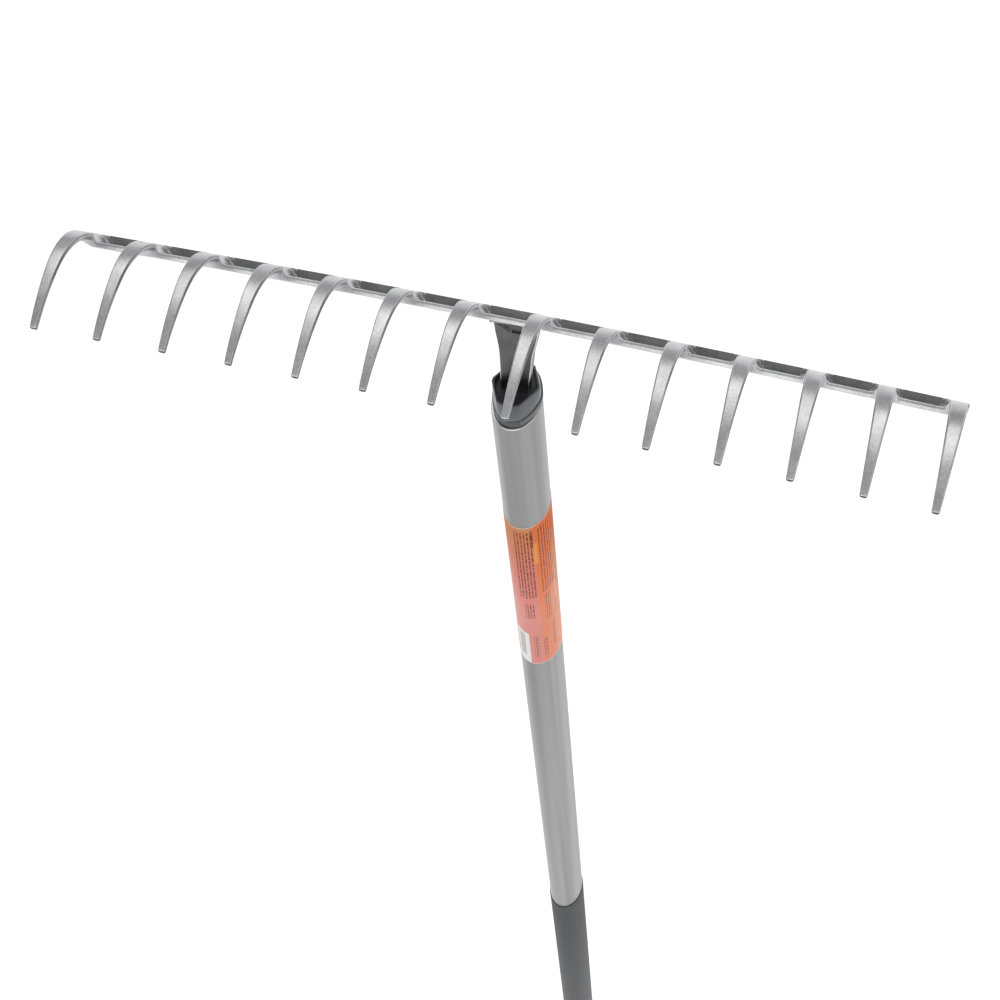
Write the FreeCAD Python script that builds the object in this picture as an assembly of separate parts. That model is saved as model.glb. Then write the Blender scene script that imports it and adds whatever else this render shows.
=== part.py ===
import FreeCAD, Part
import math
import os

# Garden rake with a rigid fourteen-tine cast head on a long oval tube.
# +Z runs up the handle from its butt end to the head, X runs along the
# crossbar, and the tines point towards -Y.  The origin is the centre of the
# flat face at the butt end of the handle, on the handle's axis.

# ---- driving dimensions, mm ------------------------------------------------
TINE_COUNT = 14
TINE_PITCH = 32.0
CENTRE_GAP_EXTRA = 2.3        # the middle gap, over the neck, is this much wider
TINE_LEVEL = 1636.0           # height of the tine bend above the butt face
TINE_THICKNESS = 3.4
TINE_HALF_WIDTH = 4.1         # at the crossbar
TINE_TIP_HALF_WIDTH = 1.65
BOW_RADIUS = 8030.0           # plan radius of the crossbar, ends forward

HANDLE_SETBACK = 15.9         # handle axis behind the tine bend
TUBE_A = 12.55                # oval tube, half size along X
TUBE_B = 17.55                # oval tube, half size along Y
TUBE_WALL = 1.2
TUBE_TOP = TINE_LEVEL - 97.5
TUBE_END = 26.0

LABEL_TOP = TINE_LEVEL - 200.0
LABEL_BOTTOM = TINE_LEVEL - 375.0
LABEL_SKIN = 0.2
LABEL_WRAP = 320.0            # degrees of the tube that the label covers

SLEEVE_TOP = TINE_LEVEL - 852.5
SLEEVE_SKIN = 0.6

# ---- tine side profile: a straight root, a bend and a long shallow arc ------
ROOT_Y = 23.3
ROOT_Z = -27.7
ROOT_ANGLE = 55.85
ROOT_RUN = 19.0
BEND_RADIUS = 35.3
BEND_ANGLE = 58.6
TIP_RADIUS = 87.3
TIP_ANGLE = 21.45
TAPER_START_Y = 9.0
TIP_ROUND = 1.1

# ---- crossbar channel, measured along and square to the tine root ----------
BAR_WIDTH = 15.0
BAR_DEPTH = 6.8
BAR_HALF_LENGTH = 214.0
RIM = 1.8
FLOOR = 5.0
FRONT_WALL = 2.0
BITE = 0.1                    # how far the bar reaches into a tine before it is cut

# ---- neck and tang ----------------------------------------------------------
# The tang stands on the handle axis, and the blade above it leans back to the bar.
TANG_HALF = 6.0
TANG_THICKNESS = 6.0
TANG_DROP = 172.0             # drops are measured down from the tine bend
TANG_END = TINE_LEVEL - TANG_DROP
NECK_HALF_WAIST = 7.25
NECK_HALF_TOP = 11.8
NECK_TOP_DROP = 10.0
SHOULDER_LOW_DROP = 102.0
SHOULDER_HIGH_DROP = 98.0
WAIST_DROP = 82.0
SWELL = (8.7, 62.0)           # half width and drop where the blade starts to flare
FLARE = (11.2, 47.0)
FLARE_TOP_DROP = 32.0
NECK_FRONT = (                # (y, drop), up the front of the blade
    (-3.0, 172.0), (-3.0, 86.0), (0.3, 77.5), (6.9, 56.0),
    (8.9, 46.0), (8.5, 41.0), (1.1, 32.6),
)
NECK_BACK = (                 # (y, drop), down its back
    (12.5, 34.0), (15.0, 41.0), (14.9, 46.8), (12.6, 57.7),
    (6.0, 79.2), (3.0, 87.0), (3.0, 172.0),
)
BAR_BURY = 1.0                # how far the neck's end reaches into the bar's floor

# ---- collar -------------------------------------------------------------------
# Outline ovals: height above the tube end, half sizes along X and Y, middle in Y.
COLLAR_OUTLINE = (
    (0.0, 12.8, 17.1, 1.3),
    (1.2, 13.2, 17.5, 1.3),
    (5.5, 13.2, 17.5, 1.3),
    (7.0, 12.6, 16.9, 0.8),
    (22.0, 12.0, 15.8, 0.4),
)
COLLAR_FOOT = 5.5             # height of the stouter ring at the foot
COLLAR_MOUTH_LEVEL = TINE_LEVEL - 81.5
COLLAR_MOUTH_FALL = 12.0      # degrees, mouth drops towards the back
COLLAR_WALL = 1.9
COLLAR_FLOOR = TINE_LEVEL - 86.5
COLLAR_SPIGOT = 5.0

# ---- insert, screws and end cap ---------------------------------------------
FIT = 0.1                     # clearance between plastic and metal
INSERT_TOP = TUBE_TOP - COLLAR_SPIGOT - 0.5
INSERT_END = TANG_END - 10.0
SCREW_R = 1.9
SCREW_HEAD_R = 3.6
SCREW_HEAD_H = 1.6
SCREW_HEAD_SLOPE = 1.2
SCREW_SOCKET_R = 1.2
SCREW_SOCKET_DEPTH = 0.9
HEAD_SCREW_LENGTH = 19.0
CAP_SCREW_LENGTH = 12.0
PILOT_PAST_TANG = 8.0         # how far past the tang the insert is drilled
HEAD_SCREW_LEVEL = TINE_LEVEL - 128.0
CAP_SCREW_LEVEL = 44.0
CAP_SKIRT = 1.5
CAP_TOP = 56.0
CAP_FACE_A = 9.5
CAP_FACE_B = 13.5
CAP_ROUND = 2.2               # rounding between the butt face and the side
CAP_SWELL_LEVEL = 9.0
CAP_EASE = 0.7
CAP_FLAT_HALF = 9.0
CAP_DISH = 3.0                # how far the dish round the hanging hole is wider
HANG_HOLE_R = 5.5
HANG_HOLE_LEVEL = 14.0


def vec(x, y, z):
    return FreeCAD.Vector(x, y, z)


def bow(x):
    """How far forward the crossbar stands at a distance x from its middle."""
    return BOW_RADIUS - math.sqrt(BOW_RADIUS ** 2 - x ** 2)


def tine_places():
    """X of every tine, with the wider middle gap shared by both halves."""
    places = []
    for index in range(TINE_COUNT):
        step = index - (TINE_COUNT - 1) / 2
        places.append(step * TINE_PITCH + math.copysign(CENTRE_GAP_EXTRA / 2, step))
    return places


def root_point(along, deep):
    """Point in the YZ plane, along the tine root and square into the bar."""
    angle = math.radians(ROOT_ANGLE)
    y = ROOT_Y - along * math.cos(angle) - deep * math.sin(angle)
    z = ROOT_Z + along * math.sin(angle) - deep * math.cos(angle)
    return vec(0, y - HANDLE_SETBACK, z + TINE_LEVEL)


def arc_points(start, heading, radius, turn):
    """Middle and end of an arc that turns down towards the tip."""
    points = []
    centre_y = start.y - radius * math.sin(heading)
    centre_z = start.z - radius * math.cos(heading)
    for share in (0.5, 1.0):
        now = heading - turn * share
        y = centre_y + radius * math.sin(now)
        z = centre_z + radius * math.cos(now)
        points.append(vec(0, y, z))
    return points


def tine_edges(inset):
    """Straight root, bend and tip arc of the tine, offset into its thickness."""
    heading = math.radians(ROOT_ANGLE)
    bend = math.radians(BEND_ANGLE)
    tip = math.radians(TIP_ANGLE)
    start = root_point(0, inset)
    knee = root_point(ROOT_RUN, inset)
    bend_mid, bend_end = arc_points(knee, heading, BEND_RADIUS - inset, bend)
    tip_mid, tip_end = arc_points(bend_end, heading - bend, TIP_RADIUS - inset, tip)
    return [
        Part.LineSegment(start, knee).toShape(),
        Part.Arc(knee, bend_mid, bend_end).toShape(),
        Part.Arc(bend_end, tip_mid, tip_end).toShape(),
    ], start, tip_end


def tine_blank():
    """One tine at x = 0, as its side profile cut to its plan taper."""
    outer, outer_root, outer_tip = tine_edges(0)
    inner, inner_root, inner_tip = tine_edges(TINE_THICKNESS)
    root_end = Part.LineSegment(outer_root, inner_root).toShape()
    tip_end = Part.LineSegment(outer_tip, inner_tip).toShape()
    wire = Part.Wire(Part.__sortEdges__(outer + inner + [root_end, tip_end]))
    reach = 2 * TINE_HALF_WIDTH
    side = Part.Face(wire).extrude(vec(2 * reach, 0, 0))
    side.translate(vec(-reach, 0, 0))

    tip_y = outer_tip.y - 0.1
    back_y = ROOT_Y - HANDLE_SETBACK + 1
    taper_y = TAPER_START_Y - HANDLE_SETBACK
    low = TINE_LEVEL - 60
    corners = [
        vec(TINE_HALF_WIDTH, back_y, low),
        vec(TINE_HALF_WIDTH, taper_y, low),
        vec(TINE_TIP_HALF_WIDTH, tip_y + TIP_ROUND, low),
        vec(TINE_TIP_HALF_WIDTH - TIP_ROUND, tip_y, low),
    ]
    mirrored = [vec(-p.x, p.y, p.z) for p in reversed(corners)]
    outline = Part.makePolygon(corners + mirrored + corners[:1])
    plan = Part.Face(outline).extrude(vec(0, 0, 100))
    return side.common(plan).Solids[0]


def make_tines():
    """All fourteen tines, each stepped forward with the bow of the bar."""
    blank = tine_blank()
    tines = []
    for x in tine_places():
        tine = blank.copy()
        tine.translate(vec(x, -bow(x), 0))
        tines.append(tine)
    return tines


def make_crossbar(tines):
    """Bowed channel, open up and back, with a pad under every tine."""
    section = [
        (0, 0),
        (RIM, 0),
        (RIM + 0.6, FLOOR),
        (BAR_WIDTH - FRONT_WALL - 0.5, FLOOR),
        (BAR_WIDTH - FRONT_WALL, TINE_THICKNESS - BITE),
        (BAR_WIDTH, TINE_THICKNESS - BITE),
        (BAR_WIDTH, BAR_DEPTH),
        (0, BAR_DEPTH),
    ]
    points = [root_point(along, deep) for along, deep in section]
    face = Part.Face(Part.makePolygon(points + points[:1]))
    half_turn = math.degrees(BAR_HALF_LENGTH / BOW_RADIUS)
    hub = vec(0, -BOW_RADIUS, 0)
    face.rotate(hub, vec(0, 0, 1), half_turn)
    bar = face.revolve(hub, vec(0, 0, 1), -2 * half_turn)
    pad_points = [
        root_point(RIM, TINE_THICKNESS - BITE),
        root_point(BAR_WIDTH - FRONT_WALL / 2, TINE_THICKNESS - BITE),
        root_point(BAR_WIDTH - FRONT_WALL / 2, FLOOR + BITE),
        root_point(RIM, FLOOR + BITE),
    ]
    pad_face = Part.Face(Part.makePolygon(pad_points + pad_points[:1]))
    for x in tine_places():
        pad = pad_face.extrude(vec(2 * TINE_HALF_WIDTH, 0, 0))
        pad.translate(vec(x - TINE_HALF_WIDTH, -bow(x), 0))
        bar = bar.fuse(pad)
    for tine in tines:
        bar = bar.cut(tine)
    return largest(bar)


def largest(shape):
    """The one real solid of a boolean result."""
    return max(shape.Solids, key=lambda solid: solid.Volume)


def neck_side():
    """Side view of the tang and blade, ending just inside the bar's floor."""
    front = [vec(0, y, TINE_LEVEL - drop) for y, drop in NECK_FRONT]
    back = [vec(0, y, TINE_LEVEL - drop) for y, drop in NECK_BACK]
    inset = BITE + 0.3
    in_bar = [
        root_point(BAR_WIDTH - inset, BAR_DEPTH),
        root_point(BAR_WIDTH - inset, BAR_DEPTH - BAR_BURY),
        root_point(inset, BAR_DEPTH - BAR_BURY),
        root_point(0, BAR_DEPTH / 2),
    ]
    points = front + in_bar + back
    return Part.Face(Part.makePolygon(points + points[:1]))


def neck_flank(sign):
    """Right (+1) or left (-1) edge of the blade, from the tang upwards."""
    def at(half, drop):
        return vec(sign * half, 0, TINE_LEVEL - drop)

    tang_low = at(TANG_HALF, TANG_DROP)
    tang_high = at(TANG_HALF, SHOULDER_LOW_DROP)
    shoulder = at(NECK_HALF_WAIST, SHOULDER_HIGH_DROP)
    waist = at(NECK_HALF_WAIST, WAIST_DROP)
    flare = at(*FLARE)
    top_low = at(NECK_HALF_TOP, FLARE_TOP_DROP)
    top_high = at(NECK_HALF_TOP, NECK_TOP_DROP)
    return [
        Part.LineSegment(tang_low, tang_high).toShape(),
        Part.LineSegment(tang_high, shoulder).toShape(),
        Part.LineSegment(shoulder, waist).toShape(),
        Part.Arc(waist, at(*SWELL), flare).toShape(),
        Part.LineSegment(flare, top_low).toShape(),
        Part.LineSegment(top_low, top_high).toShape(),
    ]


def make_neck(crossbar):
    """Flared blade from the bar down to the tang, which ends inside the tube."""
    reach = 2 * NECK_HALF_TOP
    slab = neck_side().extrude(vec(2 * reach, 0, 0))
    slab.translate(vec(-reach, 0, 0))
    low = TANG_END
    high = TINE_LEVEL - NECK_TOP_DROP
    ends = [
        Part.LineSegment(vec(-TANG_HALF, 0, low), vec(TANG_HALF, 0, low)).toShape(),
        Part.LineSegment(vec(-NECK_HALF_TOP, 0, high), vec(NECK_HALF_TOP, 0, high)).toShape(),
    ]
    wire = Part.Wire(Part.__sortEdges__(neck_flank(1) + neck_flank(-1) + ends))
    front_view = Part.Face(wire).extrude(vec(0, 2 * reach, 0))
    front_view.translate(vec(0, -reach, 0))
    neck = largest(slab.common(front_view).cut(crossbar))
    pilot = cylinder_y(SCREW_R, -TANG_THICKNESS, TANG_THICKNESS, HEAD_SCREW_LEVEL)
    return largest(neck.cut(pilot))


def oval(a, b, z):
    """Closed oval wire, a along X and b along Y."""
    curve = Part.Ellipse(vec(0, b, z), vec(a, 0, z), vec(0, 0, z))
    return Part.Wire(curve.toShape())


def oval_bar(a, b, low, high):
    """Straight oval solid between two levels."""
    return Part.Face(oval(a, b, low)).extrude(vec(0, 0, high - low))


def oval_loft(sections):
    """Solid through a list of (a, b, level) ovals."""
    return Part.makeLoft([oval(a, b, z) for a, b, z in sections], True, False)


def cylinder_y(radius, start, end, level):
    """Round bar along Y at x = 0."""
    return Part.makeCylinder(radius, end - start, vec(0, start, level), vec(0, 1, 0))


def make_collar():
    """Plastic ferrule: a short tapered cup on the tube end with a spigot inside it."""
    outer = []
    inner = []
    for height, a, b, middle in COLLAR_OUTLINE:
        ring = oval(a, b, TUBE_TOP + height)
        ring.translate(vec(0, middle, 0))
        outer.append(ring)
        if height > COLLAR_FOOT:
            bore = oval(a - COLLAR_WALL, b - COLLAR_WALL, TUBE_TOP + height)
            bore.translate(vec(0, middle, 0))
            inner.append(bore)
    body = Part.makeLoft(outer, True, True)
    cavity = Part.makeLoft(inner, True, False)
    block = Part.makeBox(80, 80, COLLAR_FLOOR, vec(-40, -40, 0))
    body = body.cut(cavity.cut(block))
    lid = Part.makeBox(80, 80, 30, vec(-40, -40, 0))
    lid.rotate(vec(0, 0, 0), vec(1, 0, 0), -COLLAR_MOUTH_FALL)
    lid.translate(vec(0, 0, COLLAR_MOUTH_LEVEL))
    body = body.cut(lid)
    spigot_a = TUBE_A - TUBE_WALL - FIT
    spigot_b = TUBE_B - TUBE_WALL - FIT
    spigot = oval_bar(spigot_a, spigot_b, TUBE_TOP - COLLAR_SPIGOT, TUBE_TOP)
    collar = body.fuse(spigot)
    half = NECK_HALF_WAIST + 3 * FIT
    deep = TANG_THICKNESS / 2 + 3 * FIT
    slot = Part.makeBox(2 * half, 2 * deep, 60, vec(-half, -deep, TUBE_TOP - 20))
    return largest(collar.cut(slot).removeSplitter())


def make_insert():
    """Moulded plug that fills the tube end and holds the tang."""
    a = TUBE_A - TUBE_WALL - FIT
    b = TUBE_B - TUBE_WALL - FIT
    plug = oval_bar(a, b, INSERT_END, INSERT_TOP)
    half = TANG_HALF + FIT
    deep = TANG_THICKNESS / 2 + FIT
    high = INSERT_TOP - TANG_END + 1
    slot = Part.makeBox(2 * half, 2 * deep, high, vec(-half, -deep, TANG_END - FIT))
    pilot = cylinder_y(SCREW_R, -PILOT_PAST_TANG, 2 * TUBE_B, HEAD_SCREW_LEVEL)
    return largest(plug.cut(slot).cut(pilot))


def make_tube():
    """Drawn oval tube with one screw hole in the back near each end."""
    tube = oval_bar(TUBE_A, TUBE_B, TUBE_END, TUBE_TOP)
    tube = tube.cut(oval_bar(TUBE_A - TUBE_WALL, TUBE_B - TUBE_WALL, TUBE_END, TUBE_TOP))
    for level in (HEAD_SCREW_LEVEL, CAP_SCREW_LEVEL):
        tube = tube.cut(cylinder_y(SCREW_R + FIT, TUBE_B / 2, 2 * TUBE_B, level))
    return largest(tube)


def make_screw(level, seat, depth):
    """Low domed screw driven forward into the back of the handle."""
    shank = cylinder_y(SCREW_R, seat - depth, seat, level)
    centre = vec(0, seat, level)
    top_r = SCREW_HEAD_R - SCREW_HEAD_SLOPE
    head = Part.makeCone(SCREW_HEAD_R, top_r, SCREW_HEAD_H, centre, vec(0, 1, 0))
    top = seat + SCREW_HEAD_H
    socket = cylinder_y(SCREW_SOCKET_R, top - SCREW_SOCKET_DEPTH, top + 1, level)
    return largest(shank.fuse(head).cut(socket))


def make_sleeve():
    """Soft sleeve over the upper-hand part of the tube, down to the cap."""
    a = TUBE_A + SLEEVE_SKIN
    b = TUBE_B + SLEEVE_SKIN
    sleeve = oval_bar(a, b, CAP_TOP, SLEEVE_TOP)
    return largest(sleeve.cut(oval_bar(TUBE_A, TUBE_B, CAP_TOP, SLEEVE_TOP)))


def make_label():
    """Printed film wrapped round the tube, with its gap at the back."""
    outer = oval_bar(TUBE_A + LABEL_SKIN, TUBE_B + LABEL_SKIN, LABEL_BOTTOM, LABEL_TOP)
    film = outer.cut(oval_bar(TUBE_A, TUBE_B, LABEL_BOTTOM, LABEL_TOP))
    half = math.radians((360 - LABEL_WRAP) / 2)
    reach = 2 * TUBE_B
    height = LABEL_TOP - LABEL_BOTTOM
    corners = [
        vec(0, 0, LABEL_BOTTOM),
        vec(reach * math.sin(half), reach * math.cos(half), LABEL_BOTTOM),
        vec(-reach * math.sin(half), reach * math.cos(half), LABEL_BOTTOM),
    ]
    gap = Part.Face(Part.makePolygon(corners + corners[:1])).extrude(vec(0, 0, height))
    return largest(film.cut(gap))


def make_end_cap():
    """Moulded cap with a flat butt face and a cross hole to hang the rake by."""
    a = TUBE_A + CAP_SKIRT
    b = TUBE_B + CAP_SKIRT
    swell_a = a - CAP_EASE
    swell_b = b - CAP_EASE
    cap = oval_loft([
        (CAP_FACE_A, CAP_FACE_B, 0),
        (CAP_FACE_A + CAP_ROUND, CAP_FACE_B + CAP_ROUND, CAP_ROUND),
        (swell_a, swell_b, CAP_SWELL_LEVEL),
        (a, b, TUBE_END),
        (a, b, CAP_TOP - CAP_EASE),
        (swell_a, swell_b, CAP_TOP),
    ])
    cap = cap.cut(oval_bar(TUBE_A + FIT / 2, TUBE_B + FIT / 2, TUBE_END, CAP_TOP + 1))
    plug = oval_bar(TUBE_A - TUBE_WALL - FIT, TUBE_B - TUBE_WALL - FIT, TUBE_END - 1, CAP_TOP)
    cap = cap.fuse(plug)
    for side in (-1, 1):
        centre = vec(side * (CAP_FLAT_HALF + 5), 0, HANG_HOLE_LEVEL)
        dish_r = HANG_HOLE_R + CAP_DISH
        dish = Part.makeCylinder(dish_r, 10, centre - vec(5, 0, 0), vec(1, 0, 0))
        cap = cap.cut(dish)
    hole = Part.makeCylinder(HANG_HOLE_R, 60, vec(-30, 0, HANG_HOLE_LEVEL), vec(1, 0, 0))
    cap = cap.cut(hole)
    pilot = cylinder_y(SCREW_R, b - CAP_SCREW_LENGTH - CAP_DISH, 2 * b, CAP_SCREW_LEVEL)
    return largest(cap.cut(pilot))


def save(node, solids):
    """Write one sub-part, one solid or a group of them."""
    shape = solids[0] if len(solids) == 1 else Part.makeCompound(solids)
    shape.exportStep(os.path.join("parts", node + ".step"))
    box = shape.BoundBox
    print(node, len(solids), round(shape.Volume, 1), shape.isValid(),
          [round(v, 1) for v in (box.XMin, box.XMax, box.YMin, box.YMax, box.ZMin, box.ZMax)])


os.makedirs("parts", exist_ok=True)
tines = make_tines()
crossbar = make_crossbar(tines)
save("head_tines", tines)
save("head_crossbar", [crossbar])
save("head_neck", [make_neck(crossbar)])
save("socket_collar", [make_collar()])
save("tang_insert", [make_insert()])
save("head_screw", [make_screw(HEAD_SCREW_LEVEL, TUBE_B, HEAD_SCREW_LENGTH)])
save("shaft_tube", [make_tube()])
save("product_label", [make_label()])
save("grip_sleeve", [make_sleeve()])
save("end_cap", [make_end_cap()])
save("end_cap_screw", [make_screw(CAP_SCREW_LEVEL, TUBE_B + CAP_SKIRT, CAP_SCREW_LENGTH)])
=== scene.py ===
import math

import bpy
from mathutils import Matrix, Vector


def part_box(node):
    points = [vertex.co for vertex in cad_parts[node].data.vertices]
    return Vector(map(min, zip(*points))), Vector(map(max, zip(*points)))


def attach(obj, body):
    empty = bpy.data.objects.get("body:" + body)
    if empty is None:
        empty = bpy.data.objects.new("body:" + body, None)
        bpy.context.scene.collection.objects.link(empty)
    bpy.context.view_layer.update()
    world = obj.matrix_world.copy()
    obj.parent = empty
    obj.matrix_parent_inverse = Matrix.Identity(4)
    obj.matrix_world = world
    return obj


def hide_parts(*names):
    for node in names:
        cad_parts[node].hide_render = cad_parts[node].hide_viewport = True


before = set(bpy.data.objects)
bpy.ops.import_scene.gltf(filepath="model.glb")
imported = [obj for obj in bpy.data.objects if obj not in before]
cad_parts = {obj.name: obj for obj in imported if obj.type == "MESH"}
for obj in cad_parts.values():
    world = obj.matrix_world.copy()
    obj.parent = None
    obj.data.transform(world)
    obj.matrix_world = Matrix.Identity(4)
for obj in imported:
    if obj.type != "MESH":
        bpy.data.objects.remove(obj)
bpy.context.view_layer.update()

bl_info = {
    "name": "Garden rake",
    "version": (1, 0, 0),
    "blender": (4, 5, 0),
    "location": "View3D > Sidebar > Rake",
    "description": "Cast-head garden rake built round its packed frame",
    "category": "Object",
}

BODY = "root"
MM = 0.001
TINY = 1e-6
TUBE_LOW, TUBE_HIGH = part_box("shaft_tube")
LABEL_LOW, LABEL_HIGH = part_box("product_label")
SLEEVE_LOW, SLEEVE_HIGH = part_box("grip_sleeve")

# ---- head geometry in millimetres, in the head's own side view --------------
# y runs back from the tine bend and z up from it; LEVEL and SETBACK place it.
TUBE_TOP_DROP = 97.5          # from the level of the tines down to the end of the tube
SETBACK = 15.9                # from the side view's origin back to the handle axis
LEVEL = TUBE_HIGH[2] / MM + TUBE_TOP_DROP
TINE_COUNT = 14
TINE_PITCH = 32.0
CENTRE_GAP_EXTRA = 2.3        # the middle gap is wider than the others
BOW_RADIUS = 8030.0           # the crossbar's slight bow, seen from above

# A tine's outer face: a straight root, a tight bend and a long gentle curve to the tip.
ROOT_Y = 23.3
ROOT_Z = -27.7
ROOT_ANGLE = math.radians(55.85)
ROOT_RUN = 19.0
BEND_RADIUS = 35.3
BEND_ANGLE = math.radians(58.6)
TIP_RADIUS = 87.3
TIP_ANGLE = math.radians(21.45)
BEND_RUN = BEND_RADIUS * BEND_ANGLE
TIP_RUN = TIP_RADIUS * TIP_ANGLE
TINE_RUN = ROOT_RUN + BEND_RUN + TIP_RUN
TINE_THICKNESS = 3.4
TIP_EXTRA = 0.2               # a tine is thicker by this at its tip
TAPER_START_Y = 9.0           # a tine keeps its full width behind this
TINE_SKIN = 0.03              # keeps the outer face just inside the frame's solid
TINE_DRAFT = 0.09             # draft from the parting line to the outer face, per half width
UNDER_DRAFT = 1.6             # drafts from the parting line to the underside
PARTING_LEVEL = 0.46          # depth of the parting line, per thickness
EDGE_TURNS = (90, 65, 40, 15)  # degrees round a long edge, from the outer face
EDGE_LIMIT = 0.4              # a long edge takes up at most this share of the half width
TIP_TOE_IN = 1.0              # how far the tips of the two end tines lean inwards
TIP_ROUND = 1.3               # length of the rounding at the blunt tip
TIP_TURNS = (15, 30, 45, 60, 75, 86)  # degrees round it
TIP_NARROWING = 0.75          # what the rounding takes off the half width
TIP_THINNING = 0.9            # and off the thickness
TIP_SHADE_ROWS = 4                  # last rows of faces at the tip, in the neck's painted shade
UNSHADED_FACES = (0, 1, 2, 3, 4, 6, 7)  # faces of a half section that keep the pale casting colour: outer face, long edge, parting line; the rest get painted shade

BAR_WIDTH = 15.0
BAR_DEPTH = 6.8
BAR_HALF_LENGTH = 214.0
BAR_SKIN = 0.08               # the bar's upper face lies this far under the tines' outer face
RIM = 1.5                     # width of the raised rim behind the gaps
FRONT_LAND = 1.9              # width of the land in front of a pocket
LAND_DEPTH = 3.7              # how far the gaps lie below the tines
GAP_FRONT = 40.0              # well in front of the bar, so that a gap is open there
FILLET = 3.7                  # radius between a gap's floor and the tines beside it
FILLET_SHARE = 0.6            # a pocket's sides stand this share of the fillet inside the gap
POCKET_DEPTH = 2.2
POCKET_WALL = 0.9             # width of a pocket's sloping wall
CORNER_RADIUS = 3.6
TOP_EDGE = 0.35               # rounding on the bar's upper edges
FOOT_EDGE = (0.6, 0.5)        # chamfer on its lower edges: along the underside, up the side
UNDERSIDE_SPLIT = 0.66        # a row of points on the underside, at this share of the width
RIM_UNSHADED = 0.45              # faces of a gap no deeper than this keep the pale colour with the rim; deeper ones get painted shade
LAND_UNSHADED = 0.15             # and on the land, those no deeper than this below it
TINE_LAP = 0.3                # a gap reaches this far under the tine beside it
END_CUT = 9.0                 # length of the slope on the underside at each end of the bar
END_CUT_DEPTH = 3.2

# Mesh spacing in millimetres: next to the two ends, between them, and how long an end is.
TINE_SPACING = (1.2, 1.2, 2.0)
BAR_END_SPACING = (1.2, 1.6, 2.0)
BAR_GAP_SPACING = (0.34, 1.5, 4.4)
BAR_TINE_SPACING = (1.2, 2.0, 1.2)
BAR_ROW_SPACING = (0.3, 0.7, 3.6)
TANG_SPACING = (1.0, 2.4, 30.0)
STEP_SPACING = (0.3, 0.3, 4.0)
NECK_TOP_SPACING = (0.8, 0.8, 4.0)
NECK_SHARES = (0.06, 0.1, 0.3)  # the same across the neck, as shares of its half width


def linear(code):
    """Scene-linear red, green, blue and alpha of an sRGB hex colour."""
    values = [int(code[i:i + 2], 16) / 255 for i in (1, 3, 5)]
    bent = [v / 12.92 if v <= 0.04045 else ((v + 0.055) / 1.055) ** 2.4 for v in values]
    return (*bent, 1.0)


def per_mm(size):
    """Texture scale, per metre, that gives features of a size in millimetres."""
    return 1.0 / (size * MM)


# ---- settings a user would change --------------------------------------------
def length_setting(name, description, default):
    return bpy.props.FloatProperty(name=name, description=description, default=default,
                                   min=0.0, unit="LENGTH", subtype="DISTANCE", precision=5)


def colour_setting(name, description, code):
    return bpy.props.FloatVectorProperty(name=name, description=description, subtype="COLOR",
                                         default=linear(code), size=4, min=0.0, max=1.0)


class RakeSizes(bpy.types.PropertyGroup):
    """Sizes of the visible pieces."""
    tine_half_width: length_setting("Tine half width", "Half width of a tine at the crossbar", 4.1 * MM)
    tip_half_width: length_setting("Tip half width", "Half width of a tine at its tip", 1.65 * MM)
    tine_edge: length_setting("Tine edge", "Radius on the long edges of a tine", 0.45 * MM)
    parting_line: length_setting("Parting line", "How far the parting line stands out", 0.16 * MM)
    neck_edge: length_setting("Neck edge", "Width of the chamfer along the neck's edges", 0.45 * MM)
    neck_recess: length_setting("Neck recess", "Depth of the hollow at the top of the neck", 1.3 * MM)


class RakeColours(bpy.types.PropertyGroup):
    """Colours of the visible finishes, with the painted shade of the cast head and of the collar's
    mouth.
    """
    casting: colour_setting("Casting", "Light grey of the cast head", "#D8D8DA")
    casting_dark: colour_setting("Casting shade", "Darker patches of the cast head", "#C6C6C9")
    # Painted shade: the cast head's flanks, back, underside and deeper gap faces get this grey in place
    # of the pale casting colour.
    casting_painted_shade: colour_setting("As cast", "Grey of the faces left as cast", "#9A9A9B")
    casting_painted_shade_dark: colour_setting("As cast shade", "Darker patches of those faces", "#858586")
    # Painted shade: the neck and the tine tips get this darker grey.
    neck: colour_setting("Neck", "As-cast grey of the neck", "#6C6C6C")
    neck_dark: colour_setting("Neck shade", "Darker patches of the neck", "#626262")
    tube: colour_setting("Tube", "Anodised tube", "#8A8A8A")
    # Painted shade inside the collar's mouth.
    mouth_painted_shade: colour_setting("Collar mouth", "Inside of the collar's mouth", "#232427")
    collar: colour_setting("Collar", "Moulded collar", "#45484D")
    label: colour_setting("Label", "Main colour of the label", "#EE7A3C")
    label_pink: colour_setting("Label left", "Colour of the label's left column", "#E38273")
    label_brown: colour_setting("Label brown", "Top of the label's left column", "#E08F5C")
    label_yellow: colour_setting("Label yellow", "Colour of the label's bright strips", "#F2A24E")
    label_ink: colour_setting("Label ink", "Ink of the label's print", "#8A3A28")
    sleeve: colour_setting("Sleeve", "Soft sleeve", "#3C3D40")
    cap: colour_setting("Cap", "Moulded end cap", "#34363A")


def sizes():
    return bpy.context.scene.rake_sizes


def colours():
    return bpy.context.scene.rake_colours


# ---- mesh helpers --------------------------------------------------------------
def smooth_step(value):
    value = min(max(value, 0.0), 1.0)
    return value * value * (3 - 2 * value)


def place(x, y, z):
    """Head side-view millimetres to a point of the frame in metres."""
    return Vector((x * MM, (y - SETBACK) * MM, (z + LEVEL) * MM))


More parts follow.
